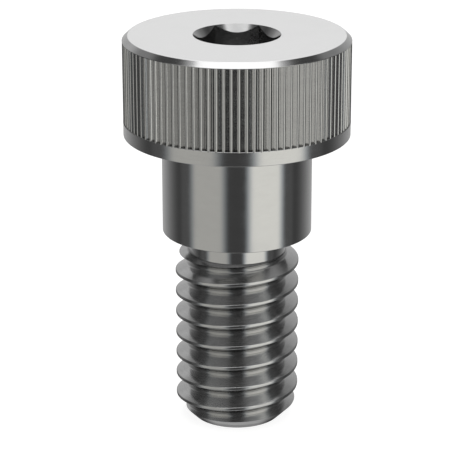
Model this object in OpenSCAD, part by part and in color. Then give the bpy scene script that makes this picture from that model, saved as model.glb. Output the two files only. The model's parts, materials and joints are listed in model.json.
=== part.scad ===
// Socket head shoulder bolt: a knurled head with a hexagon socket, a plain shoulder,
// a relief neck and a right-hand thread with a rounded root. It is one turned piece.
// The origin is the middle of the flat tip, +Z points to the head, and two corners of
// the hexagon lie on X. All sizes are in millimetres.

/* [Head] */
// Diameter of the head, over its plain band and the crests of its ridges
head_d = 14.27; // [12.6:0.01:18]
// Height of the head
head_h = 6.35; // [5.6:0.01:10]
// Radial width of the chamfer round the top of the head
head_chamfer_w = 0.33; // [0.1:0.01:0.8]
// Height of the chamfer round the top of the head
head_chamfer_h = 0.3; // [0.1:0.01:0.8]
// Size of the broken edge under the head
head_edge = 0.1; // [0.02:0.01:0.3]

/* [Knurl] */
// Number of ridges round the head
knurl_count = 96; // [60:1:130]
// Depth of the grooves between the ridges
knurl_depth = 0.1; // [0.05:0.01:0.2]
// Width of a ridge at its crest
ridge_crest_w = 0.08; // [0.04:0.01:0.12]
// Width of a ridge at its foot
ridge_foot_w = 0.21; // [0.15:0.01:0.26]
// Height of the plain band under the knurl
band_h = 0.92; // [0.3:0.01:2]
// Height of the plain rim between the knurl and the top chamfer
rim_h = 0.04; // [0.02:0.01:0.5]
// Angle of one ridge, counted from the front towards +X
knurl_phase = 0.5; // [0:0.1:6]

/* [Socket] */
// Width of the hexagon across its flats
hex_af = 4.7625; // [3:0.0025:7]
// Depth of the hexagon
hex_depth = 3.6; // [1.5:0.05:5]
// How far the rim of the countersink stands outside the flats
countersink_w = 0.364; // [0.05:0.001:0.8]
// Depth at which the countersink meets the flats
countersink_h = 0.48; // [0.1:0.01:1.2]
// How much smaller the drill is than the flats
drill_under = 0.16; // [0.02:0.02:1]
// Included angle of the drilled point
drill_angle = 118; // [100:1:150]

/* [Shoulder] */
// Diameter of the shoulder, which is the bearing surface
shoulder_d = 9.487; // [7.9:0.001:12]
// Length of the shoulder
shoulder_l = 6.35; // [2:0.01:60]
// Size of the broken edge at the end of the shoulder
shoulder_edge = 0.08; // [0.02:0.01:0.2]

/* [Neck] */
// How far the relief neck lies inside the thread's root
neck_under = 0.01; // [0.01:0.01:0.8]
// Length of the relief neck
neck_l = 1.34; // [0.5:0.01:3]

/* [Thread] */
// Major diameter of the thread
thread_d = 7.9; // [5:0.01:9.4]
// Threads to the inch
threads_per_inch = 18; // [14:1:28]
// Radius of the rounding in the thread's root
root_round_r = 0.24; // [0.08:0.01:0.26]
// Length from the shoulder to the tip, with the neck
thread_l = 12.7; // [6:0.1:30]
// How far the rim of the flat tip, inside its 45 degree chamfer, lies inside the root
tip_under = 0.28; // [0:0.01:0.8]
// Height over which the first turn rises from the neck
runout_h = 0.18; // [0.1:0.01:0.6]
// Angle round the axis at which the crest meets the plane of the tip
thread_phase = 172; // [0:1:359]
// Number of facets in one turn of the thread
thread_facets = 60; // [40:4:72]

/* [Hidden] */

inch = 25.4;
steel = "silver";
socket_over = 1;
head_overlap = 0.5;
thread_overlap = 0.05;

// Heights above the tip
shoulder_z = thread_l;
head_z = shoulder_z + shoulder_l;
top_z = head_z + head_h;
neck_z = shoulder_z - neck_l;
knurl_z = head_z + band_h;
knurl_top_z = top_z - head_chamfer_h - rim_h;

head_r = head_d / 2;
shoulder_r = shoulder_d / 2;

// Section of a groove between two ridges. Its outer side lies just outside the head,
// where neighbouring grooves are still half a crest apart.
ridge_step = 2 * PI * head_r / knurl_count;
floor_r = head_r - knurl_depth;
floor_w = ridge_step * floor_r / head_r - ridge_foot_w;
groove_mouth_w = ridge_step - ridge_crest_w;
wall_lean = (groove_mouth_w - floor_w) / 2 / knurl_depth;
groove_over = ridge_crest_w / 4 / wall_lean;

// Section of the socket
hex_corner_d = hex_af / cos(30);
drill_d = hex_af - drill_under;
countersink_lean = countersink_w / countersink_h;
drill_point_h = drill_d / 2 / tan(drill_angle / 2);

// Section of the 60 degree thread, with a crest an eighth of the pitch wide
pitch = inch / threads_per_inch;
crest_r = thread_d / 2;
crest_half_w = pitch / 16;
flank_lean = tan(30);
sharp_root_r = crest_r - (pitch / 2 - crest_half_w) / flank_lean;
root_centre_r = sharp_root_r + 2 * root_round_r;
root_steps = 4;
thread_root_r = sharp_root_r + root_round_r;

// The turns lie inside the tip's chamfer and inside a cone that rises from the neck.
// That cone runs on into the neck, up to the seat.
tip_r = thread_root_r - tip_under;
neck_r = thread_root_r - neck_under;
runout_rise = (crest_r - neck_r) / runout_h;
seat_depth = 0.3;
seat_z = neck_z + seat_depth / runout_rise;
first_turn = -2;
last_turn = ceil(seat_z / pitch) + 2;

// One turn as [height from its crest's middle, radius], from the lower crest corner up to
// the end of the root's arc
turn_section = concat(
    [[-crest_half_w, crest_r], [crest_half_w, crest_r]],
    [for (i = [0 : root_steps])
        let (a = 120 * i / root_steps - 60)
        [pitch / 2 + root_round_r * sin(a), root_centre_r - root_round_r * cos(a)]]
);

// Radius left by the tip's chamfer and by the cone at the neck
function bound_r(z) = min(tip_r + z, neck_r + (neck_z - z) * runout_rise);

// How far a point of the section stands outside that radius
function outside(p) = p[1] - bound_r(p[0]);

// A point of the section brought inside the bounds
function bounded(p) = let (z = min(seat_z, max(0, p[0]))) [z, min(p[1], bound_r(z))];

// Where a side of the section goes through the bounds, or its first point if it doesn't
function crossing(p, q) =
    let (a = outside(p), b = outside(q))
    a * b < 0 ? p + (q - p) * a / (a - b) : bounded(p);

// All turns of the section at one angle, from the tip to the seat, as [height, radius]
function section_at(angle) =
    let (
        points = [
            for (turn = [first_turn : last_turn], p = turn_section)
                [p[0] + pitch * (turn + (angle - thread_phase) / 360), p[1]]
        ]
    )
    [for (i = [0 : len(points) - 2]) each [bounded(points[i]), crossing(points[i], points[i + 1])]];

// Turns [height, radius] into a point at an angle round the axis
function around(p, angle) = [p[1] * cos(angle), p[1] * sin(angle), p[0]];

// A triangle is kept if its three points differ
function is_open(points, t) =
    points[t[0]] != points[t[1]] && points[t[1]] != points[t[2]] && points[t[2]] != points[t[0]];

module groove_section() {
    polygon([
        [floor_r, -floor_w / 2],
        [head_r + groove_over, -(groove_mouth_w + ridge_crest_w / 2) / 2],
        [head_r + groove_over, (groove_mouth_w + ridge_crest_w / 2) / 2],
        [floor_r, floor_w / 2]
    ]);
}

module knurl_grooves() {
    for (i = [0 : knurl_count - 1])
        rotate([0, 0, knurl_phase - 90 + (i + 0.5) * 360 / knurl_count])
            translate([0, 0, knurl_z])
                linear_extrude(knurl_top_z - knurl_z) groove_section();
}

module socket() {
    translate([0, 0, top_z - hex_depth])
        cylinder(h = hex_depth + socket_over, d = hex_corner_d, $fn = 6);
    // Countersink, drilled core and drilled point as one turned shape
    translate([0, 0, top_z])
        rotate_extrude($fn = 96)
            polygon([
                [0, -hex_depth - drill_point_h],
                [drill_d / 2, -hex_depth],
                [drill_d / 2, -countersink_h - drill_under / 2 / countersink_lean],
                [hex_af / 2 + countersink_w + socket_over * countersink_lean, socket_over],
                [0, socket_over]
            ]);
}

module head() {
    difference() {
        rotate_extrude($fn = 192)
            polygon([
                [0, head_z],
                [head_r - head_edge, head_z],
                [head_r, head_z + head_edge],
                [head_r, top_z - head_chamfer_h],
                [head_r - head_chamfer_w, top_z],
                [0, top_z]
            ]);
        knurl_grooves();
        socket();
    }
}

// Shoulder and neck, which reach a little into the head and into the thread
module shank() {
    rotate_extrude($fn = 144)
        polygon([
            [0, neck_z - thread_overlap],
            [neck_r, neck_z - thread_overlap],
            [neck_r, shoulder_z],
            [shoulder_r - shoulder_edge, shoulder_z],
            [shoulder_r, shoulder_z + shoulder_edge],
            [shoulder_r, head_z + head_overlap],
            [0, head_z + head_overlap]
        ]);
}

module thread() {
    angles = [for (i = [0 : thread_facets - 1]) 360 * i / thread_facets];
    columns = [for (angle = angles) [for (p = section_at(angle)) around(p, angle)]];
    rows = len(columns[0]);
    // Going once round the axis climbs one turn, so the last column meets the first a turn up.
    turn_rows = 2 * len(turn_section);
    points = [for (column = columns) each column];
    sides = [
        for (i = [0 : thread_facets - 1])
            let (
                wraps = i == thread_facets - 1,
                here = i * rows,
                next = wraps ? turn_rows : here + rows
            )
            for (j = [0 : rows - 2 - (wraps ? turn_rows : 0)])
                each [[here + j, here + j + 1, next + j + 1], [here + j, next + j + 1, next + j]]
    ];
    tip = [for (i = [0 : thread_facets - 1]) i * rows];
    seat = [for (i = [thread_facets - 1 : -1 : 0]) i * rows + rows - 1];
    polyhedron(points, concat([for (t = sides) if (is_open(points, t)) t], [tip, seat]));
}

module shoulder_bolt() {
    color(steel) {
        head();
        shank();
        thread();
    }
}

shoulder_bolt();
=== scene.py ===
"""Visual model of a socket head shoulder bolt, turned from stainless steel.

The bolt is one closed mesh with exact normals. It replaces the frame's plain node and keeps
to its sizes. A small studio lights it: a pale floor, soft panels and one overhead lamp.
"""

import json
import logging
import math
from collections.abc import Iterable, Sequence
from dataclasses import dataclass
from enum import Enum
from itertools import pairwise

import bpy
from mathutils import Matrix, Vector

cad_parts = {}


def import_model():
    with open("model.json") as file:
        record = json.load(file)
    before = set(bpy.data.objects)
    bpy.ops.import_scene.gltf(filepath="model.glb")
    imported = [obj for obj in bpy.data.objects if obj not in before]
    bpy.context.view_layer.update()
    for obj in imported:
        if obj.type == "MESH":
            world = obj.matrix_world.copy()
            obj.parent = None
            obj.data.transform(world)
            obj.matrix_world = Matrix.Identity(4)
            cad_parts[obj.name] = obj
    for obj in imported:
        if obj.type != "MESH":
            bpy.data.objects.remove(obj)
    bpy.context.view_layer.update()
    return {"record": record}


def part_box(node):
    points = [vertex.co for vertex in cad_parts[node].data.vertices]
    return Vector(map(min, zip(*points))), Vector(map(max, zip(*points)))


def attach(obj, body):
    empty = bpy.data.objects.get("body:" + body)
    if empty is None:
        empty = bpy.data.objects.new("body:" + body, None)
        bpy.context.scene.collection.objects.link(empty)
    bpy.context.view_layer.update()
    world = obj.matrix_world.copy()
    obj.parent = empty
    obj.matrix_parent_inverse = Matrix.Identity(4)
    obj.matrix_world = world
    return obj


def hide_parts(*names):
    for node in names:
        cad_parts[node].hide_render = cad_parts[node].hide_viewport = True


log = logging.getLogger("shoulder_bolt")

NODE = "shoulder_bolt"
BODY = "root"
PIECE = "turned_bolt"
MM = 0.001
INCH = 25.4
TAU = math.tau

# Points of a section that are nearer than this are one point, in millimetres
SAME_PLACE = 1e-9
# A socket wall lower than this under the top face has no countersink over it, in millimetres
LEAST_DROP = 1e-6
# A normal with a larger radial share than this is square to the axis
SQUARE_TO_AXIS = 1 - 1e-6
# Angle round the axis at which the camera stands, counted from +X, in degrees
FRONT_DEG = -90
# The hexagon's walls, and the angle that each takes up
WALLS = 6
WALL_ANGLE = TAU / WALLS

# What a node's socket can take: another node's output, a number or a colour
Value = bpy.types.NodeSocket | float | tuple[float, ...]


class Cut(Enum):
    """The ways in which a surface of the bolt was cut, in the order of its material slots."""

    FACED = 0
    BAND = 1
    KNURLED = 2
    GROUND = 3
    ROLLED = 4
    CREST = 5
    BROACHED = 6


@dataclass(frozen=True)
class Spot:
    """A point of a section, with the surface's normal there, in the plane of the section."""

    across: float
    along: float
    normal_across: float
    normal_along: float


@dataclass(frozen=True)
class Corner:
    """A corner of a section's outline and the radius that rounds it."""

    across: float
    along: float
    rounding: float = 0.0

    @property
    def at(self) -> Vector:
        """Place of the corner."""
        return Vector((self.across, self.along))

    def towards(self, other: "Corner") -> Vector:
        """Returns the direction from this corner to another."""
        return (other.at - self.at).normalized()


def section(corners: Sequence[Corner], steps: int) -> list[Spot]:
    """Rounds the corners of an outline and gives each point its exact normal.

    Args:
        corners: Corners in the order in which the outline runs, with the material on the left.
        steps: Facets in each rounding.

    Returns:
        The outline's points. A corner with no rounding gives one point for each of its sides.
    """
    spots: list[Spot] = []
    for i, corner in enumerate(corners):
        side_in = corners[i - 1].towards(corner) if i else None
        side_out = corner.towards(corners[i + 1]) if i + 1 < len(corners) else None
        if corner.rounding and side_in is not None and side_out is not None:
            spots += rounded(corner, side_in, side_out, steps)
            continue
        for side in (side_in, side_out):
            if side is not None:
                spots.append(Spot(corner.at.x, corner.at.y, side.y, -side.x))
    return spots


def rounded(corner: Corner, side_in: Vector, side_out: Vector, steps: int) -> list[Spot]:
    """Makes the arc that rounds one corner.

    Args:
        corner: The sharp corner, with the arc's radius.
        side_in: Direction of the side that ends at the corner.
        side_out: Direction of the side that starts there.
        steps: Facets of the arc.

    Returns:
        The arc's points, from the first side to the second.
    """
    turn = math.atan2(side_in.x * side_out.y - side_in.y * side_out.x, side_in.dot(side_out))
    outwards = math.copysign(1.0, turn)
    start = corner.at - side_in * corner.rounding * math.tan(abs(turn) / 2)
    normal_in = Vector((side_in.y, -side_in.x))
    centre = start - normal_in * corner.rounding * outwards
    spots = []
    for k in range(steps + 1):
        angle = turn * k / steps
        normal = Vector((
            normal_in.x * math.cos(angle) - normal_in.y * math.sin(angle),
            normal_in.x * math.sin(angle) + normal_in.y * math.cos(angle),
        ))
        point = centre + normal * corner.rounding * outwards
        spots.append(Spot(point.x, point.y, normal.x, normal.y))
    return spots


def outward(spots: Sequence[Spot]) -> list[int]:
    """Returns the numbers of a section's points whose normal is square to the axis."""
    return [k for k, spot in enumerate(spots) if spot.normal_across > SQUARE_TO_AXIS]


def turned(angle: float, radial: float, around: float, axial: float) -> Vector:
    """Turns a vector given as radial, around and axial shares into the frame at an angle."""
    c, s = math.cos(angle), math.sin(angle)
    return Vector((radial * c - around * s, radial * s + around * c, axial))


@dataclass
class Ring:
    """A closed row of the mesh's points round the axis, with their normals."""

    points: list[int]
    angles: list[float]
    normals: list[Vector]

    def facing_along(self, radial: float, axial: float) -> "Ring":
        """Returns the same row of points with one turned normal."""
        normals = [turned(a, radial, 0.0, axial) for a in self.angles]
        return Ring(self.points, self.angles, normals)


def new_object(name: str, data: bpy.types.ID) -> bpy.types.Object:
    """Makes an object and links it to the scene.

    Args:
        name: The object's name.
        data: Its mesh, lamp or camera.

    Returns:
        The object.
    """
    made = bpy.data.objects.new(name, data)
    bpy.context.scene.collection.objects.link(made)
    return made


class TurnedMesh:
    """Collects the points, faces and corner normals of the closed mesh, in millimetres."""

    def __init__(self) -> None:
        """Starts an empty mesh."""
        self.points: list[Vector] = []
        self.faces: list[list[int]] = []
        self.normals: list[Vector] = []
        self.cuts: list[int] = []

    def point(self, angle: float, radius: float, height: float) -> int:
        """Adds a point given by angle, radius and height, and returns its number."""
        self.points.append(Vector((radius * math.cos(angle), radius * math.sin(angle), height)))
        return len(self.points) - 1

    def face(self, corners: Sequence[int], normals: Sequence[Vector], cut: Cut) -> None:
        """Adds a face, unless fewer than three of its corners differ.

        Args:
            corners: Numbers of the face's points, in turning order seen from outside.
            normals: The surface's normal at each corner.
            cut: How the surface was cut.
        """
        kept = [k for k in range(len(corners)) if corners[k] != corners[k - 1]]
        if len(kept) < 3:
            return
        self.faces.append([corners[k] for k in kept])
        self.normals += [normals[k] for k in kept]
        self.cuts.append(cut.value)

    def ring(self, angles: Sequence[float], spot: Spot) -> Ring:
        """Adds a round row of points at one place of a turned section.

        Args:
            angles: Angle of each point round the axis.
            spot: The section's point, as radius and height.

        Returns:
            The new row.
        """
        points = [self.point(a, spot.across, spot.along) for a in angles]
        normals = [turned(a, spot.normal_across, 0.0, spot.normal_along) for a in angles]
        return Ring(points, list(angles), normals)

    def bridge(self, low: Ring, high: Ring, cut: Cut) -> None:
        """Joins two rows of as many points with faces.

        Args:
            low: The row at the start of the surface.
            high: The row at its end.
            cut: How the surface was cut.
        """
        count = len(low.points)
        for i in range(count):
            j = (i + 1) % count
            corners = [low.points[i], low.points[j], high.points[j], high.points[i]]
            normals = [low.normals[i], low.normals[j], high.normals[j], high.normals[i]]
            self.face(corners, normals, cut)

    def turn(self, start: Ring, spots: Sequence[Spot], cut: Cut) -> Ring:
        """Continues a turned surface from a row along a section.

        Args:
            start: The row to go on from, at the section's first point.
            spots: The section's points. The first is where the row already is.
            cut: How the surface was cut.

        Returns:
            The last row.
        """
        last = start.facing_along(spots[0].normal_across, spots[0].normal_along)
        for place, spot in pairwise(spots):
            gap = math.dist((spot.across, spot.along), (place.across, place.along))
            if gap < SAME_PLACE:
                last = last.facing_along(spot.normal_across, spot.normal_along)
            else:
                row = self.ring(start.angles, spot)
                self.bridge(last, row, cut)
                last = row
        return last

    def flat(self, outer: Ring, inner: Ring, upwards: float, cut: Cut) -> None:
        """Fills the flat face between two rows whose numbers of points may differ.

        Args:
            outer: The wider row.
            inner: The narrower row.
            upwards: 1 for a face that looks up and -1 for one that looks down.
            cut: How the surface was cut.
        """
        start = inner_start(outer, inner)
        outer_sweep = sweep(outer, 0, outer.angles[0])
        inner_sweep = sweep(inner, start, outer.angles[0])
        n, m = len(outer.points), len(inner.points)
        normals = [Vector((0.0, 0.0, upwards))] * 3
        i = j = 0
        while i < n or j < m:
            a, b = outer.points[i % n], inner.points[(start + j) % m]
            if j == m or (i < n and outer_sweep[i + 1] <= inner_sweep[j + 1]):
                i += 1
                corners = [a, outer.points[i % n], b]
            else:
                j += 1
                corners = [a, inner.points[(start + j) % m], b]
            self.face(corners if upwards > 0 else corners[::-1], normals, cut)

    def cap(self, rim: Ring, height: float, radial: float, axial: float, cut: Cut) -> None:
        """Closes a row with a point on the axis.

        Args:
            rim: The row to close.
            height: Height of the point on the axis.
            radial: Radial share of the surface's normal.
            axial: Axial share of the normal. Below zero, the faces look down.
            cut: How the surface was cut.
        """
        tip = self.point(0.0, 0.0, height)
        count = len(rim.points)
        for i in range(count):
            j = (i + 1) % count
            normals = [turned(rim.angles[k], radial, 0.0, axial) for k in (i, j)]
            corners = [rim.points[i], rim.points[j], tip]
            shown = [*normals, (normals[0] + normals[1]).normalized()]
            if axial < 0:
                corners, shown = corners[::-1], shown[::-1]
            self.face(corners, shown, cut)

    def to_object(self, name: str, materials: Sequence[bpy.types.Material]) -> bpy.types.Object:
        """Makes the Blender object, in metres.

        Args:
            name: The object's name.
            materials: One material for each way of cutting.

        Returns:
            The object, linked to the scene.
        """
        mesh = bpy.data.meshes.new(name)
        mesh.from_pydata([p * MM for p in self.points], [], self.faces)
        for material in materials:
            mesh.materials.append(material)
        mesh.polygons.foreach_set("material_index", self.cuts)
        mesh.polygons.foreach_set("use_smooth", [True] * len(self.faces))
        mesh.normals_split_custom_set([tuple(n.normalized()) for n in self.normals])
        mesh.update()
        return new_object(name, mesh)


def even_angles(count: int) -> list[float]:
    """Returns evenly spaced angles round the axis."""
    return [TAU * i / count for i in range(count)]


def sweep(ring: Ring, start: int, first: float) -> list[float]:
    """Lists the angles of a row's points, once round from one of them and back to it.

    Args:
        ring: The row.
        start: Number of the point to start from.
        first: The angle from which the angles are counted.

    Returns:
        One angle more than the row has points.
    """
    count = len(ring.points)
    begin = math.remainder(ring.angles[start] - first, TAU)
    gone = [(ring.angles[(start + k) % count] - ring.angles[start]) % TAU for k in range(count)]
    return [begin + g for g in gone] + [begin + TAU]


def inner_start(outer: Ring, inner: Ring) -> int:
    """Returns the number of the inner row's point that is nearest the outer row's first."""
    gaps = [abs(math.remainder(a - outer.angles[0], TAU)) for a in inner.angles]
    return gaps.index(min(gaps))


@dataclass
class Knurl:
    """Straight ridges with rounded crests and V grooves between them, in millimetres.

    A ridge's walls lean to a sharp apex over its foot, and the crest is that apex rounded.
    """

    radius: float
    bottom: float
    top: float
    count: int = 96
    wall_lean_deg: float = 61.0
    apex_h: float = 0.386
    crest_rounding: float = 0.105
    foot_rounding: float = 0.01
    bottom_rounding: float = 0.05
    top_rounding: float = 0.03
    phase_deg: float = 0.9
    facets: int = 3

    @property
    def foot_radius(self) -> float:
        """Radius at which the ridges' walls meet the bottom of the grooves."""
        apex_over = self.crest_rounding * (1 / math.cos(math.radians(self.wall_lean_deg)) - 1)
        return self.radius - self.apex_h + apex_over

    def ridge(self) -> list[Spot]:
        """Draws the section of one ridge, from the middle of a groove to that of the next.

        Returns:
            Its points, as distance round the head and radius, without the grooves' middles.
        """
        reach = math.pi * self.radius / self.count
        foot = self.apex_h / math.tan(math.radians(self.wall_lean_deg))
        outline = [
            Corner(reach, self.foot_radius),
            Corner(foot, self.foot_radius, self.foot_rounding),
            Corner(0.0, self.foot_radius + self.apex_h, self.crest_rounding),
            Corner(-foot, self.foot_radius, self.foot_rounding),
            Corner(-reach, self.foot_radius),
        ]
        return section(outline, self.facets)[1:-1][::-1]

    def columns(self) -> list[tuple[float, float, Vector]]:
        """Places the ridges' sections round the head, from the front towards +X.

        Returns:
            Angle, radius and normal of every column of the mesh.
        """
        made = []
        for i in range(self.count):
            centre = math.radians(self.phase_deg + FRONT_DEG) + TAU * i / self.count
            for spot in self.ridge():
                angle = centre + spot.across / self.radius
                normal = turned(angle, spot.normal_along, spot.normal_across, 0.0)
                made.append((angle, spot.along, normal))
        return made

    def angles(self) -> list[float]:
        """Returns the angles of the columns."""
        return [angle for angle, _, _ in self.columns()]

    def end_rows(
        self, mesh: TurnedMesh, plain: Ring, height: float, rounding: float
    ) -> list[Ring]:
        """Rounds the plain surface over into the grooves at one end of them.

        Args:
            mesh: The mesh that takes the points.
            plain: The row where the plain surface starts to turn in.
            height: Height of the grooves' end.
            rounding: Radius of the rounding, below zero at the upper end.

        Returns:
            The rows from the plain surface to the grooves. The last lies in the grooves.
        """
        rows = [plain]
        columns = self.columns()
        for k in range(1, self.facets + 1):
            lean = math.pi / 2 * k / self.facets
            round_r = self.radius - abs(rounding) * (1 - math.cos(lean))
            z = height - rounding * (1 - math.sin(lean))
            points, normals = [], []
            for angle, radius, normal in columns:
                points.append(mesh.point(angle, max(round_r, radius), z))
                over = turned(angle, math.cos(lean), 0.0, math.copysign(math.sin(lean), rounding))
                normals.append(over if round_r > radius else normal)
            rows.append(Ring(points, list(plain.angles), normals))
        edge = rows[-1].points
        lip = self.radius - abs(rounding)
        inner = [
            mesh.point(angle, radius, height) if radius < lip else edge[k]
            for k, (angle, radius, _) in enumerate(columns)
        ]
        rows.append(Ring(inner, list(plain.angles), [normal for _, _, normal in columns]))
        return rows

    def build(self, mesh: TurnedMesh, low: Ring, high: Ring) -> None:
        """Builds the grooves between the plain band and the rim.

        Args:
            mesh: The mesh that takes the faces.
            low: The band's top row.
            high: The rim's bottom row.
        """
        below = self.end_rows(mesh, low, self.bottom, self.bottom_rounding)
        above = self.end_rows(mesh, high, self.top, -self.top_rounding)
        floor = [row.facing_along(0.0, 1.0) for row in (below[-2], below[-1])]
        roof = [row.facing_along(0.0, -1.0) for row in (above[-1], above[-2])]
        for first, second in pairwise(below[:-1]):
            mesh.bridge(first, second, Cut.KNURLED)
        for first, second in (floor, (below[-1], above[-1]), roof):
            mesh.bridge(first, second, Cut.KNURLED)
        for first, second in pairwise(above[:-1]):
            mesh.bridge(second, first, Cut.KNURLED)


@dataclass
class Socket:
    """Hexagon socket with a countersunk rim and a drilled point, in millimetres."""

    across_flats: float = 4.7625
    depth: float = 3.6
    countersink_w: float = 0.364
    countersink_h: float = 0.48
    drill_d: float = 4.6025
    drill_angle: float = 118.0
    wall_facets: int = 24

    def angles(self) -> list[float]:
        """Returns the angles of the rows, with a point at each corner of the hexagon."""
        return even_angles(WALLS * self.wall_facets)

    def wall_radius(self, angle: float) -> float:
        """Returns the distance from the axis to the hexagon's wall at an angle."""
        from_flat = math.remainder(angle - WALL_ANGLE / 2, WALL_ANGLE)
        return self.across_flats / 2 / math.cos(from_flat)

    @property
    def rim_radius(self) -> float:
        """Radius of the countersink at the top face."""
        return self.across_flats / 2 + self.countersink_w

    def mouth(self, mesh: TurnedMesh, top: float) -> Ring:
        """Adds the row where the socket meets the top face.

        Args:
            mesh: The mesh that takes the points.
            top: Height of the top face.

        Returns:
            The row.
        """
        angles = self.angles()
        radii = [max(self.rim_radius, self.wall_radius(a)) for a in angles]
        points = [mesh.point(a, r, top) for a, r in zip(angles, radii, strict=True)]
        return Ring(points, angles, [Vector((0.0, 0.0, 1.0))] * len(points))

    def wall_normals(self, side: float) -> list[Vector]:
        """Finds the normals of the six flat walls.

        Args:
            side: 1 for the wall after each point of the row, and -1 for the wall before it.

        Returns:
            One normal for each point of a row.
        """
        inside = side * WALL_ANGLE / self.wall_facets / 2
        walls = [math.floor((angle + inside) / WALL_ANGLE) for angle in self.angles()]
        return [turned((wall + 0.5) * WALL_ANGLE, -1.0, 0.0, 0.0) for wall in walls]

    def countersink(self, mesh: TurnedMesh, mouth: Ring, top: float) -> Ring:
        """Builds the countersunk rim.

        Args:
            mesh: The mesh that takes the faces.
            mouth: The row where the socket meets the top face.
            top: Height of the top face.

        Returns:
            The row where the countersink meets the walls.
        """
        length = math.hypot(self.countersink_w, self.countersink_h)
        lean = (-self.countersink_h / length, self.countersink_w / length)
        slope = self.countersink_h / self.countersink_w
        points = []
        for k, a in enumerate(mouth.angles):
            radius = self.wall_radius(a)
            drop = (self.rim_radius - radius) * slope
            on_wall = drop > LEAST_DROP
            points.append(mesh.point(a, radius, top - drop) if on_wall else mouth.points[k])
        edge = Ring(points, mouth.angles, mouth.normals)
        mesh.bridge(mouth.facing_along(*lean), edge.facing_along(*lean), Cut.FACED)
        return edge

    def build(self, mesh: TurnedMesh, mouth: Ring, top: float) -> None:
        """Builds the countersink, the six walls, the floor and the drilled point.

        Args:
            mesh: The mesh that takes the faces.
            mouth: The row where the socket meets the top face.
            top: Height of the top face.
        """
        angles = mouth.angles
        bottom = top - self.depth
        edge = self.countersink(mesh, mouth, top)
        foot_points = [mesh.point(a, self.wall_radius(a), bottom) for a in angles]
        foot = Ring(foot_points, angles, mouth.normals)
        after, before = self.wall_normals(1.0), self.wall_normals(-1.0)
        count = len(angles)
        for i in range(count):
            j = (i + 1) % count
            corners = [edge.points[i], edge.points[j], foot.points[j], foot.points[i]]
            mesh.face(corners, [after[i], before[j], before[j], after[i]], Cut.BROACHED)
        drill = mesh.ring(angles, Spot(self.drill_d / 2, bottom, 0.0, 1.0))
        mesh.flat(foot, drill, 1.0, Cut.BROACHED)
        half = math.radians(self.drill_angle / 2)
        point = bottom - self.drill_d / 2 / math.tan(half)
        mesh.cap(drill, point, -math.cos(half), math.sin(half), Cut.BROACHED)


@dataclass
class Head:
    """The knurled cylindrical head with its hexagon socket, in millimetres."""

    radius: float
    underside: float
    height: float
    seat_radius: float
    chamfer_w: float = 0.33
    chamfer_h: float = 0.30
    edge: float = 0.03
    rounding: float = 0.02
    chamfer_rounding: float = 0.01
    top_rounding: float = 0.09
    band_h: float = 0.92
    rim_h: float = 0.04
    facets: int = 3

    @property
    def top(self) -> float:
        """Height of the top face."""
        return self.underside + self.height

    def knurl(self) -> Knurl:
        """Returns the ridges between the plain band and the rim."""
        knurl_top = self.top - self.chamfer_h - self.rim_h
        return Knurl(self.radius, self.underside + self.band_h, knurl_top)

    def below_knurl(self, end: float) -> list[Spot]:
        """Draws the section from the flat underside up the plain band.

        Args:
            end: Height at which the section ends.

        Returns:
            The section's points.
        """
        corners = [
            Corner(self.seat_radius, self.underside),
            Corner(self.radius - self.edge, self.underside, self.rounding),
            Corner(self.radius, self.underside + self.edge, self.rounding),
            Corner(self.radius, end),
        ]
        return section(corners, self.facets)

    def above_knurl(self, start: float) -> list[Spot]:
        """Draws the section from the rim to the flat top face.

        Args:
            start: Height at which the section starts.

        Returns:
            The section's points.
        """
        corners = [
            Corner(self.radius, start),
            Corner(self.radius, self.top - self.chamfer_h, self.chamfer_rounding),
            Corner(self.radius - self.chamfer_w, self.top, self.top_rounding),
            Corner(self.seat_radius, self.top),
        ]
        return section(corners, self.facets)

    def build(self, mesh: TurnedMesh, seat: Ring, socket: Socket) -> None:
        """Builds the head on the row where the shoulder meets its underside.

        Args:
            mesh: The mesh that takes the faces.
            seat: The row at the top of the shoulder.
            socket: The hexagon socket.
        """
        knurl = self.knurl()
        angles = knurl.angles()
        below = self.below_knurl(knurl.bottom - knurl.bottom_rounding)[1:]
        first = mesh.ring(angles, below[0])
        mesh.flat(first, seat, -1.0, Cut.FACED)
        edge_end = outward(below)[0]
        band = mesh.turn(first, below[: edge_end + 1], Cut.FACED)
        band_top = mesh.turn(band, below[edge_end:], Cut.BAND)
        above = self.above_knurl(knurl.top + knurl.top_rounding)
        rim = mesh.ring(angles, above[0])
        knurl.build(mesh, band_top, rim)
        top_edge = mesh.turn(rim, above[:-1], Cut.FACED)
        mouth = socket.mouth(mesh, self.top)
        mesh.flat(top_edge, mouth, 1.0, Cut.FACED)
        socket.build(mesh, mouth, self.top)


@dataclass
class Shank:
    """The ground shoulder and the relief neck under it, in millimetres."""

    radius: float
    end: float
    top: float
    neck_radius: float
    neck_foot: float
    edge: float = 0.03
    rounding: float = 0.015
    neck_rounding: float = 0.08
    facets: int = 4

    def build(self, mesh: TurnedMesh, start: Ring) -> Ring:
        """Builds the neck, the end face and the shoulder.

        Args:
            mesh: The mesh that takes the faces.
            start: The row at the foot of the neck.

        Returns:
            The row where the shoulder meets the head.
        """
        spots = section([
            Corner(self.neck_radius, self.neck_foot),
            Corner(self.neck_radius, self.end, self.neck_rounding),
            Corner(self.radius - self.edge, self.end, self.rounding),
            Corner(self.radius, self.end + self.edge, self.rounding),
            Corner(self.radius, self.top),
        ], self.facets)
        walls = outward(spots)
        neck_end = [k for k in walls if spots[k].along < self.end][-1]
        face_end = [k for k in walls if spots[k].along > self.end][0]
        neck = mesh.turn(start, spots[: neck_end + 1], Cut.GROUND)
        face = mesh.turn(neck, spots[neck_end: face_end + 1], Cut.FACED)
        return mesh.turn(face, spots[face_end:], Cut.GROUND)


@dataclass(frozen=True)
class ThreadPoint:
    """A point of the thread, with the normals of the helix and of the bound at its height."""

    height: float
    radius: float
    on_bound: bool
    helix_normal: Vector
    bound_normal: Vector


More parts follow.
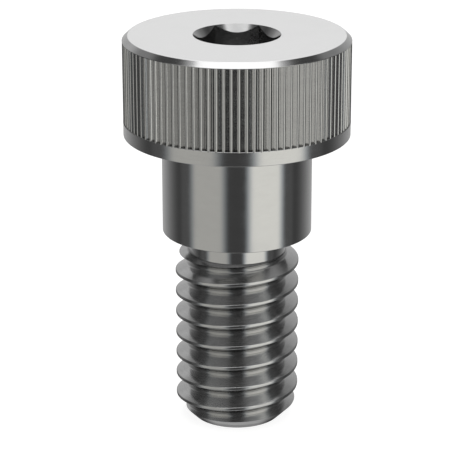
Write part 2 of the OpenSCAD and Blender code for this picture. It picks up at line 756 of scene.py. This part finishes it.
@dataclass
class Thread:
    """Right-hand thread with a rounded root, a chamfered tip and a run-out, in millimetres."""

    radius: float
    end: float
    pitch: float = INCH / 18
    half_angle_deg: float = 30.0
    crest_share: float = 0.125
    root_rounding: float = 0.24
    crest_rounding: float = 0.06
    tip_under: float = 0.28
    neck_under: float = 0.01
    runout_h: float = 0.38
    phase_deg: float = 172.0
    spare_turns: int = 2
    columns: int = 240
    root_facets: int = 10
    crest_facets: int = 4

    @property
    def half_crest(self) -> float:
        """Half the width of the flat crest."""
        return self.pitch * self.crest_share / 2

    @property
    def sharp_root(self) -> float:
        """Radius at which the flanks would meet in a sharp root."""
        flank_w = (self.pitch - 2 * self.half_crest) / 2
        return self.radius - flank_w / math.tan(math.radians(self.half_angle_deg))

    @property
    def root_radius(self) -> float:
        """Radius at the bottom of the rounded root."""
        return self.sharp_root + self.root_rounding

    @property
    def tip_radius(self) -> float:
        """Radius of the flat tip."""
        return self.root_radius - self.tip_under

    @property
    def neck_radius(self) -> float:
        """Radius of the relief neck."""
        return self.root_radius - self.neck_under

    @property
    def runout_rise(self) -> float:
        """Radius gained for each unit of height on the cone that rises from the neck."""
        return (self.radius - self.neck_radius) / self.runout_h

    def turn_section(self) -> list[Spot]:
        """Draws the section of one turn, from the middle of its crest to the next crest's.

        Returns:
            The section's points without the last, which is the next turn's first.
        """
        crest = [
            Corner(self.radius, 0.0),
            Corner(self.radius, self.half_crest, self.crest_rounding),
            Corner(self.sharp_root, self.pitch / 2),
        ]
        root = [
            Corner(self.radius, self.half_crest),
            Corner(self.sharp_root, self.pitch / 2, self.root_rounding),
            Corner(self.radius, self.pitch - self.half_crest),
        ]
        crest_after = [
            Corner(self.sharp_root, self.pitch / 2),
            Corner(self.radius, self.pitch - self.half_crest, self.crest_rounding),
            Corner(self.radius, self.pitch),
        ]
        rise = section(crest, self.crest_facets)[:-1]
        valley = section(root, self.root_facets)[1:-1]
        fall = section(crest_after, self.crest_facets)[1:-1]
        return rise + valley + fall

    def bound(self, height: float) -> float:
        """Returns the radius left by the tip's chamfer and by the cone at the neck."""
        cone = self.neck_radius + (self.end - height) * self.runout_rise
        return min(self.tip_radius + height, cone)

    def outside(self, spot: Spot) -> float:
        """Returns how far a point of the section stands outside the bounds."""
        return spot.across - self.bound(spot.along)

    def point(
        self, angle: float, height: float, radius: float, on_bound: bool, spot: Spot, reach: float
    ) -> ThreadPoint:
        """Makes a point of the thread with its two normals.

        Args:
            angle: Angle round the axis.
            height: Height of the point.
            radius: Distance of the point from the axis.
            on_bound: Whether the point lies on the tip's chamfer or on the cone.
            spot: The section's point that gives the thread's normal.
            reach: Distance from the axis at which the helix has that normal.

        Returns:
            The point.
        """
        around = -self.pitch / TAU * spot.normal_along
        helix = turned(angle, reach * spot.normal_across, around, reach * spot.normal_along)
        if height < self.end / 2:
            lean = (math.sqrt(0.5), -math.sqrt(0.5))
        else:
            length = math.hypot(1.0, self.runout_rise)
            lean = (1 / length, self.runout_rise / length)
        bound_normal = turned(angle, lean[0], 0.0, lean[1])
        return ThreadPoint(height, radius, on_bound, helix.normalized(), bound_normal)

    def placed(self, spot: Spot, angle: float) -> ThreadPoint:
        """Brings a point of the section inside the bounds.

        Args:
            spot: The point.
            angle: Angle round the axis.

        Returns:
            The point of the thread.
        """
        height = min(self.end, max(0.0, spot.along))
        radius = min(spot.across, self.bound(height))
        clipped = height != spot.along or radius != spot.across
        return self.point(angle, height, radius, clipped, spot, spot.across)

    def column(self, angle: float) -> list[ThreadPoint]:
        """Places all turns of the section at one angle, inside the bounds.

        Args:
            angle: Angle round the axis.

        Returns:
            Two points for each side of the section: its start and where it meets a bound, or
            its start twice.
        """
        turns = range(-self.spare_turns, math.ceil(self.end / self.pitch) + self.spare_turns)
        base = self.turn_section()
        climb = self.pitch * (angle / TAU - self.phase_deg / 360)
        spots = [
            Spot(s.across, s.along + self.pitch * turn + climb, s.normal_across, s.normal_along)
            for turn in turns
            for s in base
        ]
        made: list[ThreadPoint] = []
        for spot, after in pairwise(spots):
            made.append(self.placed(spot, angle))
            a, b = self.outside(spot), self.outside(after)
            if a * b < 0:
                t = a / (a - b)
                height = spot.along + (after.along - spot.along) * t
                radius = spot.across + (after.across - spot.across) * t
                made.append(self.point(angle, height, radius, True, spot, radius))
            else:
                made.append(made[-1])
        return made

    def numbered(
        self, mesh: TurnedMesh, angle: float, tip: int, neck: int
    ) -> list[tuple[int, ThreadPoint]]:
        """Adds the points of one column to the mesh.

        Args:
            mesh: The mesh that takes the points.
            angle: Angle of the column.
            tip: Number of the tip's point at that angle.
            neck: Number of the neck's point at that angle.

        Returns:
            The column's points, each with its number in the mesh.
        """
        made: list[tuple[int, ThreadPoint]] = []
        last: tuple[float, float] | None = None
        for point in self.column(angle):
            place = (point.height, point.radius)
            if point.height <= 0.0:
                number = tip
            elif point.height >= self.end:
                number = neck
            elif place == last:
                number = made[-1][0]
            else:
                number = mesh.point(angle, point.radius, point.height)
            made.append((number, point))
            last = place
        return made

    def build(self, mesh: TurnedMesh) -> Ring:
        """Builds the thread and its flat tip.

        Args:
            mesh: The mesh that takes the faces.

        Returns:
            The row at the foot of the neck.
        """
        angles = even_angles(self.columns)
        tip = mesh.ring(angles, Spot(self.tip_radius, 0.0, 0.0, -1.0))
        neck = mesh.ring(angles, Spot(self.neck_radius, self.end, 1.0, 0.0))
        grid = [
            self.numbered(mesh, angle, low, high)
            for angle, low, high in zip(angles, tip.points, neck.points, strict=True)
        ]
        # Going once round climbs one turn, so the last column meets the first a turn up.
        grid.append(grid[0][2 * len(self.turn_section()):])
        for here, there in pairwise(grid):
            for (a, b), (d, c) in zip(pairwise(here), pairwise(there)):
                numbers, points = zip(a, d, c, b)
                bounded = all(p.on_bound for p in points)
                normals = [p.bound_normal if bounded else p.helix_normal for p in points]
                on_crest = min(p.radius for p in points) > self.radius - self.crest_rounding
                mesh.face(numbers, normals, Cut.CREST if on_crest else Cut.ROLLED)
        mesh.cap(tip, 0.0, 0.0, -1.0, Cut.FACED)
        return neck


@dataclass
class ShoulderBolt:
    """The whole bolt, sized from the frame's node and its mounts, in millimetres."""

    half_width: float
    height: float
    shoulder_radius: float
    head_height: float = 6.35
    shoulder_length: float = 6.35
    neck_length: float = 1.34
    thread_radius: float = 3.95

    def build(self, materials: Sequence[bpy.types.Material]) -> bpy.types.Object:
        """Builds the bolt as one closed mesh.

        Args:
            materials: One material for each way of cutting.

        Returns:
            The bolt.
        """
        underside = self.height - self.head_height
        shoulder_end = underside - self.shoulder_length
        thread = Thread(self.thread_radius, shoulder_end - self.neck_length)
        shank = Shank(
            self.shoulder_radius, shoulder_end, underside, thread.neck_radius, thread.end
        )
        head = Head(self.half_width, underside, self.head_height, self.shoulder_radius)
        mesh = TurnedMesh()
        seat = shank.build(mesh, thread.build(mesh))
        head.build(mesh, seat, Socket())
        triangles = sum(len(f) - 2 for f in mesh.faces)
        log.info("%s: %d points, %d triangles", PIECE, len(mesh.points), triangles)
        return mesh.to_object(PIECE, materials)


def opaque(parts: Iterable[float]) -> tuple[float, ...]:
    """Returns a colour's three parts with full alpha."""
    return (*parts, 1.0)


class Nodes:
    """Short ways to place and join nodes in one node tree."""

    def __init__(self, tree: bpy.types.NodeTree) -> None:
        """Takes the tree that the nodes go into."""
        self.tree = tree

    def add(self, kind: str, **settings: object) -> bpy.types.Node:
        """Adds a node.

        Args:
            kind: Blender's name of the kind of node.
            settings: The node's properties.

        Returns:
            The node.
        """
        node = self.tree.nodes.new(kind)
        for name, value in settings.items():
            setattr(node, name, value)
        return node

    def put(self, value: Value, socket: bpy.types.NodeSocket) -> None:
        """Joins an output to a socket, or sets the socket to a plain value.

        Args:
            value: The output or plain value.
            socket: The socket that takes it.
        """
        if isinstance(value, bpy.types.NodeSocket):
            self.tree.links.new(value, socket)
        else:
            socket.default_value = value

    def fed(self, kind: str, *values: Value, **settings: object) -> bpy.types.NodeSocket:
        """Adds a node and fills its inputs in order.

        Args:
            kind: Blender's name of the kind of node.
            values: Outputs or plain values for its inputs.
            settings: The node's properties.

        Returns:
            The node's first output.
        """
        node = self.add(kind, **settings)
        for socket, value in zip(node.inputs, values):
            self.put(value, socket)
        return node.outputs[0]

    def end(self, kind: str, surface: Value) -> None:
        """Adds an output node that takes the surface."""
        self.put(surface, self.add(kind).inputs["Surface"])

    def math(self, operation: str, *values: Value) -> bpy.types.NodeSocket:
        """Adds a Math node and returns its result."""
        return self.fed("ShaderNodeMath", *values, operation=operation)

    def smooth(
        self, value: Value, low: Value, high: Value, to_low: float = 0.0, to_high: float = 1.0
    ) -> bpy.types.NodeSocket:
        """Adds a smooth step between two values.

        Args:
            value: What is mapped.
            low: Where the step starts.
            high: Where the step ends.
            to_low: Result at the start.
            to_high: Result at the end.

        Returns:
            The result.
        """
        values = (value, low, high, to_low, to_high)
        return self.fed("ShaderNodeMapRange", *values, interpolation_type="SMOOTHSTEP")

    def noise(
        self, vector: Value, scale: Value, detail: float, roughness: float
    ) -> bpy.types.NodeSocket:
        """Adds a noise texture.

        Args:
            vector: Where the noise is read.
            scale: How many grains there are to a unit.
            detail: How many finer layers it has.
            roughness: How strong the finer layers are.

        Returns:
            Its grey value.
        """
        node = self.add("ShaderNodeTexNoise")
        given = {"Vector": vector, "Scale": scale, "Detail": detail, "Roughness": roughness}
        for name, value in given.items():
            self.put(value, node.inputs[name])
        return node.outputs["Fac"]

    def vector(self, x: Value, y: Value, z: Value) -> bpy.types.NodeSocket:
        """Joins three numbers into a vector."""
        return self.fed("ShaderNodeCombineXYZ", x, y, z)

    def grey(self, level: Value) -> bpy.types.NodeSocket:
        """Turns a level into a neutral colour."""
        return self.fed("ShaderNodeCombineColor", level, level, level)

    def parts(self, vector: bpy.types.NodeSocket) -> list[bpy.types.NodeSocket]:
        """Parts a vector into its three numbers.

        Args:
            vector: The vector.

        Returns:
            Its X, Y and Z.
        """
        node = self.add("ShaderNodeSeparateXYZ")
        self.put(vector, node.inputs[0])
        return list(node.outputs)

    def mix(
        self, factor: Value, first: Value, second: Value, blend: str = "MIX"
    ) -> bpy.types.NodeSocket:
        """Mixes two colours.

        Args:
            factor: Share of the second colour.
            first: The first colour.
            second: The second colour.
            blend: Blender's name of the way of mixing.

        Returns:
            The mixed colour.
        """
        node = self.add("ShaderNodeMix", data_type="RGBA", blend_type=blend)
        # The node's sockets for numbers and vectors come before those for colours.
        for place, value in ((0, factor), (6, first), (7, second)):
            self.put(value, node.inputs[place])
        return node.outputs[2]


def cleared_nodes(owner: bpy.types.Material | bpy.types.World) -> Nodes:
    """Empties the node tree of a material or world.

    Args:
        owner: The material or world.

    Returns:
        Its nodes.
    """
    owner.use_nodes = True
    owner.node_tree.nodes.clear()
    return Nodes(owner.node_tree)


def new_group(
    name: str, numbers: dict[str, float], vectors: Sequence[str], results: Sequence[str]
) -> tuple[Nodes, bpy.types.bpy_prop_collection, bpy.types.bpy_prop_collection]:
    """Makes an empty shader node group.

    Args:
        name: The group's name.
        numbers: Name and default of each number that it takes.
        vectors: Name of each vector that it takes.
        results: Name of each number that it puts out.

    Returns:
        The group's nodes, the outputs that hold what it takes and the inputs for its results.
    """
    nodes = Nodes(bpy.data.node_groups.new(name, "ShaderNodeTree"))
    interface = nodes.tree.interface
    for label in vectors:
        interface.new_socket(name=label, in_out="INPUT", socket_type="NodeSocketVector")
    for label, default in numbers.items():
        socket = interface.new_socket(name=label, in_out="INPUT", socket_type="NodeSocketFloat")
        socket.default_value = default
    for label in results:
        interface.new_socket(name=label, in_out="OUTPUT", socket_type="NodeSocketFloat")
    return nodes, nodes.add("NodeGroupInput").outputs, nodes.add("NodeGroupOutput").inputs


@dataclass(frozen=True)
class ToolLines:
    """The fine lines that a cutting tool leaves: long round the bolt, narrow across.

    The fine noise gives their height. Their tone adds a share of a coarser one.
    """

    pitch: float = 0.1 * MM
    drift: float = 6.0
    coarse_pitch_share: float = 0.13
    coarse_share: float = 0.4
    tone_low: float = 0.3
    tone_high: float = 0.7

    def group(self) -> bpy.types.NodeTree:
        """Builds the lines' node group.

        Returns:
            The group.
        """
        nodes, given, result = new_group(
            "tool_lines", {"Across": 0.0, "Pitch": self.pitch}, ["Around"], ["Height", "Tone"]
        )
        turn = nodes.parts(given["Around"])[:2]
        x, y = (nodes.math("MULTIPLY", part, self.drift) for part in turn)
        flat = nodes.math("DIVIDE", given["Across"], given["Pitch"])
        wide = nodes.math("MULTIPLY", flat, self.coarse_pitch_share)
        fine = nodes.noise(nodes.vector(x, y, flat), 1.0, detail=3.0, roughness=0.6)
        coarse = nodes.noise(nodes.vector(x, y, wide), 1.0, detail=2.0, roughness=0.5)
        shares = (
            nodes.math("MULTIPLY", fine, 1 - self.coarse_share),
            nodes.math("MULTIPLY", coarse, self.coarse_share),
        )
        both = nodes.math("ADD", *shares)
        nodes.put(fine, result["Height"])
        nodes.put(nodes.smooth(both, self.tone_low, self.tone_high), result["Tone"])
        return nodes.tree


@dataclass(frozen=True)
class HandlingMarks:
    """Faint smudges and small specks left by handling."""

    smudge_size: float = 2 * MM
    smudge_low: float = 0.46
    smudge_high: float = 0.68
    speck_size: float = 0.1 * MM
    speck_low: float = 0.6
    speck_high: float = 0.76

    def group(self) -> bpy.types.NodeTree:
        """Builds the marks' node group.

        Returns:
            The group.
        """
        sizes = {"Smudge size": self.smudge_size, "Speck size": self.speck_size}
        nodes, given, result = new_group(
            "handling_marks", sizes, ["Position"], ["Smudges", "Specks"]
        )
        grains = [nodes.math("DIVIDE", 1.0, given[name]) for name in sizes]
        broad = nodes.noise(given["Position"], grains[0], detail=3.0, roughness=0.55)
        small = nodes.noise(given["Position"], grains[1], detail=1.0, roughness=0.5)
        nodes.put(nodes.smooth(broad, self.smudge_low, self.smudge_high), result["Smudges"])
        nodes.put(nodes.smooth(small, self.speck_low, self.speck_high), result["Specks"])
        return nodes.tree


class Lay(Enum):
    """Which way a surface's tool lines are spaced."""

    ALONG_AXIS = "along axis"
    FROM_AXIS = "from axis"


STEEL = (0.62, 0.62, 0.62)
# Painted shade: a darker steel for the walls and floor of the deep socket
SHADED_STEEL = (0.40, 0.40, 0.40)
# A finish's colour can vary from this share of its own tone to that share plus one
LEAST_TONE = 0.5
# The tool lines' middle tone, which leaves the finish as it is
MIDDLE_TONE = 0.5
# The direction round the axis is worked out no nearer to it than this, in metres
NEAR_AXIS = 0.01 * MM


@dataclass(frozen=True)
class SteelFinish:
    """How one cut surface of the stainless steel looks, in metres.

    The edge tint is how bright the steel stays where it is seen at a glancing angle. Grooves
    get painted shade within root_depth of their root, which lies root_reach off the axis.
    """

    cut: Cut
    lay: Lay
    roughness: float
    tone: tuple[float, float, float] = STEEL
    line_pitch: float = 0.05 * MM
    line_height: float = 0.0004 * MM
    line_tone: float = 0.06
    line_roughness: float = 0.03
    smudge_roughness: float = 0.03
    speck_tone: float = 0.04
    edge_tint: float = 1.0
    root_reach: float = 0.0
    root_depth: float = 0.1 * MM
    painted_root_shade: float = 0.0

    def shade(
        self, nodes: Nodes, tone: Value, specks: Value, reach: Value
    ) -> bpy.types.NodeSocket:
        """Works out the steel's colour from its marks.

        Args:
            nodes: The material's nodes.
            tone: Tone of the tool lines.
            specks: Mask of the specks.
            reach: Distance from the axis.

        Returns:
            The colour.
        """
        swing = nodes.math("SUBTRACT", tone, MIDDLE_TONE)
        lines = nodes.math("ADD", 1.0, nodes.math("MULTIPLY", swing, self.line_tone))
        dots = nodes.math("MULTIPLY", specks, self.speck_tone)
        # Painted shade: within root_depth of a groove's root the colour darkens towards the root
        root_end = self.root_reach + self.root_depth
        root = nodes.smooth(reach, self.root_reach, root_end, self.painted_root_shade, 0.0)
        level = nodes.math("SUBTRACT", nodes.math("SUBTRACT", lines, dots), root)
        dark = opaque(c * LEAST_TONE for c in self.tone)
        bright = opaque(min(1.0, c * (1 + LEAST_TONE)) for c in self.tone)
        return nodes.mix(nodes.math("SUBTRACT", level, LEAST_TONE), dark, bright)

    def material(self, groups: dict[str, bpy.types.NodeTree]) -> bpy.types.Material:
        """Builds the material.

        Args:
            groups: The shared effects by name.

        Returns:
            The material.
        """
        material = bpy.data.materials.new(f"steel_{self.cut.name.lower()}")
        nodes = cleared_nodes(material)
        shader = nodes.add("ShaderNodeBsdfPrincipled")
        shader.inputs["Metallic"].default_value = 1.0
        shader.inputs["Specular Tint"].default_value = opaque([self.edge_tint] * 3)
        position = nodes.add("ShaderNodeTexCoord").outputs["Object"]
        x, y, z = nodes.parts(position)
        squares = [nodes.math("MULTIPLY", part, part) for part in (x, y)]
        reach = nodes.math("SQRT", nodes.math("ADD", *squares))
        safe_reach = nodes.math("MAXIMUM", reach, NEAR_AXIS)
        around = [nodes.math("DIVIDE", part, safe_reach) for part in (x, y)]
        lines = nodes.add("ShaderNodeGroup", node_tree=groups["tool_lines"])
        nodes.put(z if self.lay is Lay.ALONG_AXIS else reach, lines.inputs["Across"])
        nodes.put(nodes.vector(*around, 0.0), lines.inputs["Around"])
        lines.inputs["Pitch"].default_value = self.line_pitch
        marks = nodes.add("ShaderNodeGroup", node_tree=groups["handling_marks"])
        nodes.put(position, marks.inputs["Position"])
        colour = self.shade(nodes, lines.outputs["Tone"], marks.outputs["Specks"], reach)
        nodes.put(colour, shader.inputs["Base Color"])
        lines_rough = nodes.math("MULTIPLY", lines.outputs["Tone"], self.line_roughness)
        smudge_rough = nodes.math("MULTIPLY", marks.outputs["Smudges"], self.smudge_roughness)
        both_rough = nodes.math("ADD", lines_rough, smudge_rough)
        nodes.put(nodes.math("ADD", both_rough, self.roughness), shader.inputs["Roughness"])
        bump = nodes.add("ShaderNodeBump")
        bump.inputs["Distance"].default_value = self.line_height
        bump.inputs["Strength"].default_value = 1.0
        nodes.put(lines.outputs["Height"], bump.inputs["Height"])
        nodes.put(bump.outputs[0], shader.inputs["Normal"])
        nodes.end("ShaderNodeOutputMaterial", shader.outputs[0])
        log.info("material %s", material.name)
        return material


# The knurled and rolled finishes paint shade into the roots of their grooves
FINISHES = (
    SteelFinish(
        Cut.FACED, Lay.FROM_AXIS, roughness=0.13,
        line_tone=0.05, smudge_roughness=0.02, speck_tone=0.0,
    ),
    SteelFinish(Cut.BAND, Lay.ALONG_AXIS, roughness=0.14, edge_tint=0.85),
    SteelFinish(
        Cut.KNURLED, Lay.ALONG_AXIS, roughness=0.17, line_pitch=0.09 * MM,
        edge_tint=0.0, root_reach=6.845 * MM, root_depth=0.05 * MM, painted_root_shade=0.08,
    ),
    SteelFinish(
        Cut.GROUND, Lay.ALONG_AXIS, roughness=0.12, line_pitch=0.06 * MM,
        line_height=0.0003 * MM, line_tone=0.04, line_roughness=0.02,
        smudge_roughness=0.04, speck_tone=0.0, edge_tint=0.85,
    ),
    SteelFinish(
        Cut.ROLLED, Lay.FROM_AXIS, roughness=0.14, line_pitch=0.10 * MM,
        line_height=0.0005 * MM, line_tone=0.12, line_roughness=0.04,
        smudge_roughness=0.04, speck_tone=0.02,
        edge_tint=0.9, root_reach=3.12 * MM, root_depth=0.14 * MM, painted_root_shade=0.35,
    ),
    SteelFinish(
        Cut.CREST, Lay.FROM_AXIS, roughness=0.14, line_pitch=0.03 * MM,
        line_height=0.0010 * MM, line_roughness=0.04,
        smudge_roughness=0.04, speck_tone=0.02, edge_tint=0.3,
    ),
    SteelFinish(
        Cut.BROACHED, Lay.ALONG_AXIS, roughness=0.22, tone=SHADED_STEEL, line_pitch=0.08 * MM,
        line_height=0.0005 * MM, line_roughness=0.04, speck_tone=0.02,
    ),
)


# Tints of a tinted panel's middle and of its soft edge
PANEL_WARM = (1.0, 0.99, 0.93)
PANEL_COOL = (0.90, 1.0, 1.08)
PANEL_SIZES = ("Centre", "Height", "Half width", "Half height", "Side soft", "End soft")


@dataclass(frozen=True)
class Panel:
    """A soft panel of the studio, as seen from the bolt, in degrees.

    Azimuth 0 is towards the camera and grows towards +X. Elevation is above the horizon.
    """

    name: str
    azimuth: float
    elevation: float
    half_width: float
    half_height: float
    side_soft: float
    end_soft: float
    brightness: float
    tinted: bool = False

    def mask(
        self, nodes: Nodes, group: bpy.types.NodeTree, azimuth: Value, elevation: Value
    ) -> bpy.types.NodeSocket:
        """Places the panel's mask in the world.

        Args:
            nodes: The world's nodes.
            group: The group that makes a panel's mask.
            azimuth: Azimuth of the direction that is looked in.
            elevation: Elevation of that direction.

        Returns:
            The mask.
        """
        place = (self.azimuth, self.elevation, self.half_width, self.half_height)
        sizes = (azimuth, elevation, *place, self.side_soft, self.end_soft)
        return nodes.fed("ShaderNodeGroup", *sizes, node_tree=group, label=self.name)

    def light(self, nodes: Nodes, mask: bpy.types.NodeSocket) -> Value:
        """Works out the colour of the panel's light.

        Args:
            nodes: The world's nodes.
            mask: The panel's mask.

        Returns:
            A grey, or for a tinted panel a mix from cool at its soft edge to warm inside.
        """
        if not self.tinted:
            return opaque([self.brightness] * 3)
        cool, warm = (opaque(c * self.brightness for c in t) for t in (PANEL_COOL, PANEL_WARM))
        return nodes.mix(mask, cool, warm)


# Each panel's azimuth, elevation, half width, half height, soft sides, soft ends, brightness
PANELS = (
    Panel("rear", -178.5, 8.0, 46.0, 33.0, 36.0, 2.5, 0.54),
    Panel("rear_fill_left", -150.0, 28.0, 10.0, 12.0, 8.0, 6.0, 0.56),
    Panel("rear_side_left", -131.0, 38.0, 11.0, 9.0, 5.0, 5.0, 0.27),
    Panel("rear_side_right", 131.0, 38.0, 11.0, 9.0, 5.0, 5.0, 0.27),
    Panel("rear_high", 180.0, 50.0, 10.0, 40.0, 5.0, 3.0, 1.05),
    Panel("fold_left", -82.0, 9.5, 13.0, 36.5, 4.0, 5.0, 0.10),
    Panel("fold_right", 82.0, 9.5, 13.0, 36.5, 4.0, 5.0, 0.10),
    Panel("low_left", -46.2, -36.5, 26.6, 10.5, 8.0, 5.0, 0.22),
    Panel("low_right", 45.3, -36.5, 26.9, 10.5, 8.0, 5.0, 0.26),
    Panel("front_left", -46.2, 9.5, 26.6, 36.5, 8.0, 5.0, 0.535, tinted=True),
    Panel("front_right", 45.3, 9.5, 26.9, 36.5, 8.0, 5.0, 0.97, tinted=True),
)


@dataclass(frozen=True)
class Sheet:
    """The lit sheet that hangs over the bolt. Its places are shares of its height."""

    level: float = 0.90
    side: float = 0.48
    side_soft: float = 0.15
    front: float = -0.75
    rear: float = 1.60
    end_soft: float = 0.25
    least_rise: float = 0.05

    def light(self, nodes: Nodes, x: Value, y: Value, z: Value) -> bpy.types.NodeSocket:
        """Builds the sheet's light.

        Args:
            nodes: The world's nodes.
            x: Share of the direction towards +X.
            y: Share of the direction towards +Y.
            z: Share of the direction upwards.

        Returns:
            The light's colour.
        """
        rise = nodes.math("MAXIMUM", z, self.least_rise)
        across = nodes.math("ABSOLUTE", nodes.math("DIVIDE", x, rise))
        along = nodes.math("DIVIDE", y, rise)
        near, far = self.side - self.side_soft, self.side + self.side_soft
        side = nodes.smooth(across, near, far, 1.0, 0.0)
        front = nodes.smooth(along, self.front - self.end_soft, self.front + self.end_soft)
        rear = nodes.smooth(along, self.rear, self.rear + self.end_soft, 1.0, 0.0)
        mask = nodes.math("MULTIPLY", nodes.math("MULTIPLY", side, front), rear)
        return nodes.grey(nodes.math("MULTIPLY", mask, self.level))


@dataclass
class Studio:
    """Floor, world, lamp and camera, in metres and degrees."""

    room_level: float = 0.064
    ground_level: float = 0.50
    ground_from: float = -40.0
    ground_to: float = -57.0
    panels: tuple[Panel, ...] = PANELS
    sheet: Sheet = Sheet()
    floor_size: float = 4.0
    floor_share: float = 0.35
    floor_glow: float = 0.88
    lamp_height: float = 0.30
    lamp_width: float = 0.24
    lamp_length: float = 0.26
    lamp_radiance: float = 0.70
    camera_distance: float = 0.132656
    camera_elevation: float = 19.7158
    camera_lens: float = 157.42
    camera_sensor: float = 36.0
    camera_sees_from: float = 0.01
    camera_sees_to: float = 20.0
    target_height: float = 0.01208

    def build(self) -> None:
        """Builds everything round the bolt."""
        self.world()
        self.floor()
        self.lamp()
        self.camera()
        bpy.context.scene.view_settings.view_transform = "Standard"
        log.info("studio: %d panels, one lamp", len(self.panels))

    def panel_group(self) -> bpy.types.NodeTree:
        """Builds the soft-edged mask of one panel.

        Returns:
            The node group.
        """
        names = ("Azimuth", "Elevation", *PANEL_SIZES)
        nodes, given, result = new_group("studio_panel", dict.fromkeys(names, 0.0), [], ["Mask"])
        turn = nodes.math("SUBTRACT", given["Azimuth"], given["Centre"])
        side = nodes.math("ABSOLUTE", nodes.math("WRAP", turn, 180.0, -180.0))
        rise = nodes.math("SUBTRACT", given["Elevation"], given["Height"])
        end = nodes.math("ABSOLUTE", rise)
        masks = []
        sides = ((side, "Half width", "Side soft"), (end, "Half height", "End soft"))
        for distance, half, soft in sides:
            near, far = (nodes.math(way, given[half], given[soft]) for way in ("SUBTRACT", "ADD"))
            masks.append(nodes.smooth(distance, near, far, 1.0, 0.0))
        nodes.put(nodes.math("MULTIPLY", *masks), result["Mask"])
        return nodes.tree

    def world(self) -> None:
        """Builds the room that the steel reflects. The camera itself sees plain white."""
        world = bpy.data.worlds.new("studio")
        bpy.context.scene.world = world
        nodes = cleared_nodes(world)
        x, y, z = nodes.parts(nodes.add("ShaderNodeTexCoord").outputs["Generated"])
        towards_camera = nodes.math("MULTIPLY", y, -1.0)
        azimuth = nodes.math("DEGREES", nodes.math("ARCTAN2", x, towards_camera))
        elevation = nodes.math("DEGREES", nodes.math("ARCSINE", z))
        levels = (self.ground_level, self.room_level)
        colour = nodes.grey(nodes.smooth(elevation, self.ground_to, self.ground_from, *levels))
        group = self.panel_group()
        for panel in self.panels:
            mask = panel.mask(nodes, group, azimuth, elevation)
            colour = nodes.mix(mask, colour, panel.light(nodes, mask))
        room = nodes.mix(1.0, colour, self.sheet.light(nodes, x, y, z), blend="ADD")
        seen = nodes.add("ShaderNodeLightPath").outputs["Is Camera Ray"]
        shown = nodes.mix(seen, room, opaque([1.0] * 3))
        nodes.end("ShaderNodeOutputWorld", nodes.fed("ShaderNodeBackground", shown))

    def floor(self) -> None:
        """Builds the pale floor, which takes the bolt's shadow and looks white to the camera."""
        mesh = bpy.data.meshes.new("floor")
        half = self.floor_size / 2
        corners = [(-half, -half, 0), (half, -half, 0), (half, half, 0), (-half, half, 0)]
        mesh.from_pydata(corners, [], [(0, 1, 2, 3)])
        floor = new_object("floor", mesh)
        material = bpy.data.materials.new("pale_floor")
        nodes = cleared_nodes(material)
        seen = nodes.add("ShaderNodeLightPath").outputs["Is Camera Ray"]
        glow = nodes.add("ShaderNodeEmission")
        nodes.put(nodes.math("MULTIPLY", seen, self.floor_glow), glow.inputs["Strength"])
        diffuse = nodes.fed("ShaderNodeBsdfDiffuse", opaque([self.floor_share] * 3))
        both = nodes.fed("ShaderNodeAddShader", diffuse, glow.outputs[0])
        nodes.end("ShaderNodeOutputMaterial", both)
        mesh.materials.append(material)
        floor.visible_glossy = False

    def lamp(self) -> None:
        """Hangs one soft lamp over the bolt."""
        light = bpy.data.lights.new("overhead", "AREA")
        light.shape = "RECTANGLE"
        light.size = self.lamp_width
        light.size_y = self.lamp_length
        light.energy = self.lamp_radiance * math.pi * self.lamp_width * self.lamp_length
        new_object("overhead", light).location = (0.0, 0.0, self.lamp_height)

    def camera(self) -> None:
        """Sets up the camera in front of the bolt and a little above it."""
        data = bpy.data.cameras.new("camera")
        data.lens = self.camera_lens
        data.sensor_width = self.camera_sensor
        data.clip_start = self.camera_sees_from
        data.clip_end = self.camera_sees_to
        camera = new_object("camera", data)
        e = math.radians(self.camera_elevation)
        back = Vector((0.0, -math.cos(e), math.sin(e)))
        camera.location = Vector((0.0, 0.0, self.target_height)) + back * self.camera_distance
        camera.rotation_mode = "QUATERNION"
        camera.rotation_quaternion = (-back).to_track_quat("-Z", "Y")
        bpy.context.scene.camera = camera


def mount_radius(record: dict, name: str) -> float:
    """Returns the radius of a round mount, in millimetres."""
    return next(m["dims"]["r_mm"] for m in record["mounts"] if m["name"] == name)


def main() -> None:
    """Loads the frame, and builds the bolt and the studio."""
    logging.basicConfig(level=logging.INFO, format="%(name)s: %(message)s")
    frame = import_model()
    low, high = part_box(NODE)
    groups = {"tool_lines": ToolLines().group(), "handling_marks": HandlingMarks().group()}
    materials = [finish.material(groups) for finish in FINISHES]
    bolt = ShoulderBolt(
        half_width=(high.x - low.x) / 2 / MM,
        height=(high.z - low.z) / MM,
        shoulder_radius=mount_radius(frame["record"], "shoulder"),
    )
    piece = bolt.build(materials)
    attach(piece, BODY)
    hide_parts(NODE)
    Studio().build()
    bpy.context.view_layer.update()


if __name__ == "__main__":
    main()
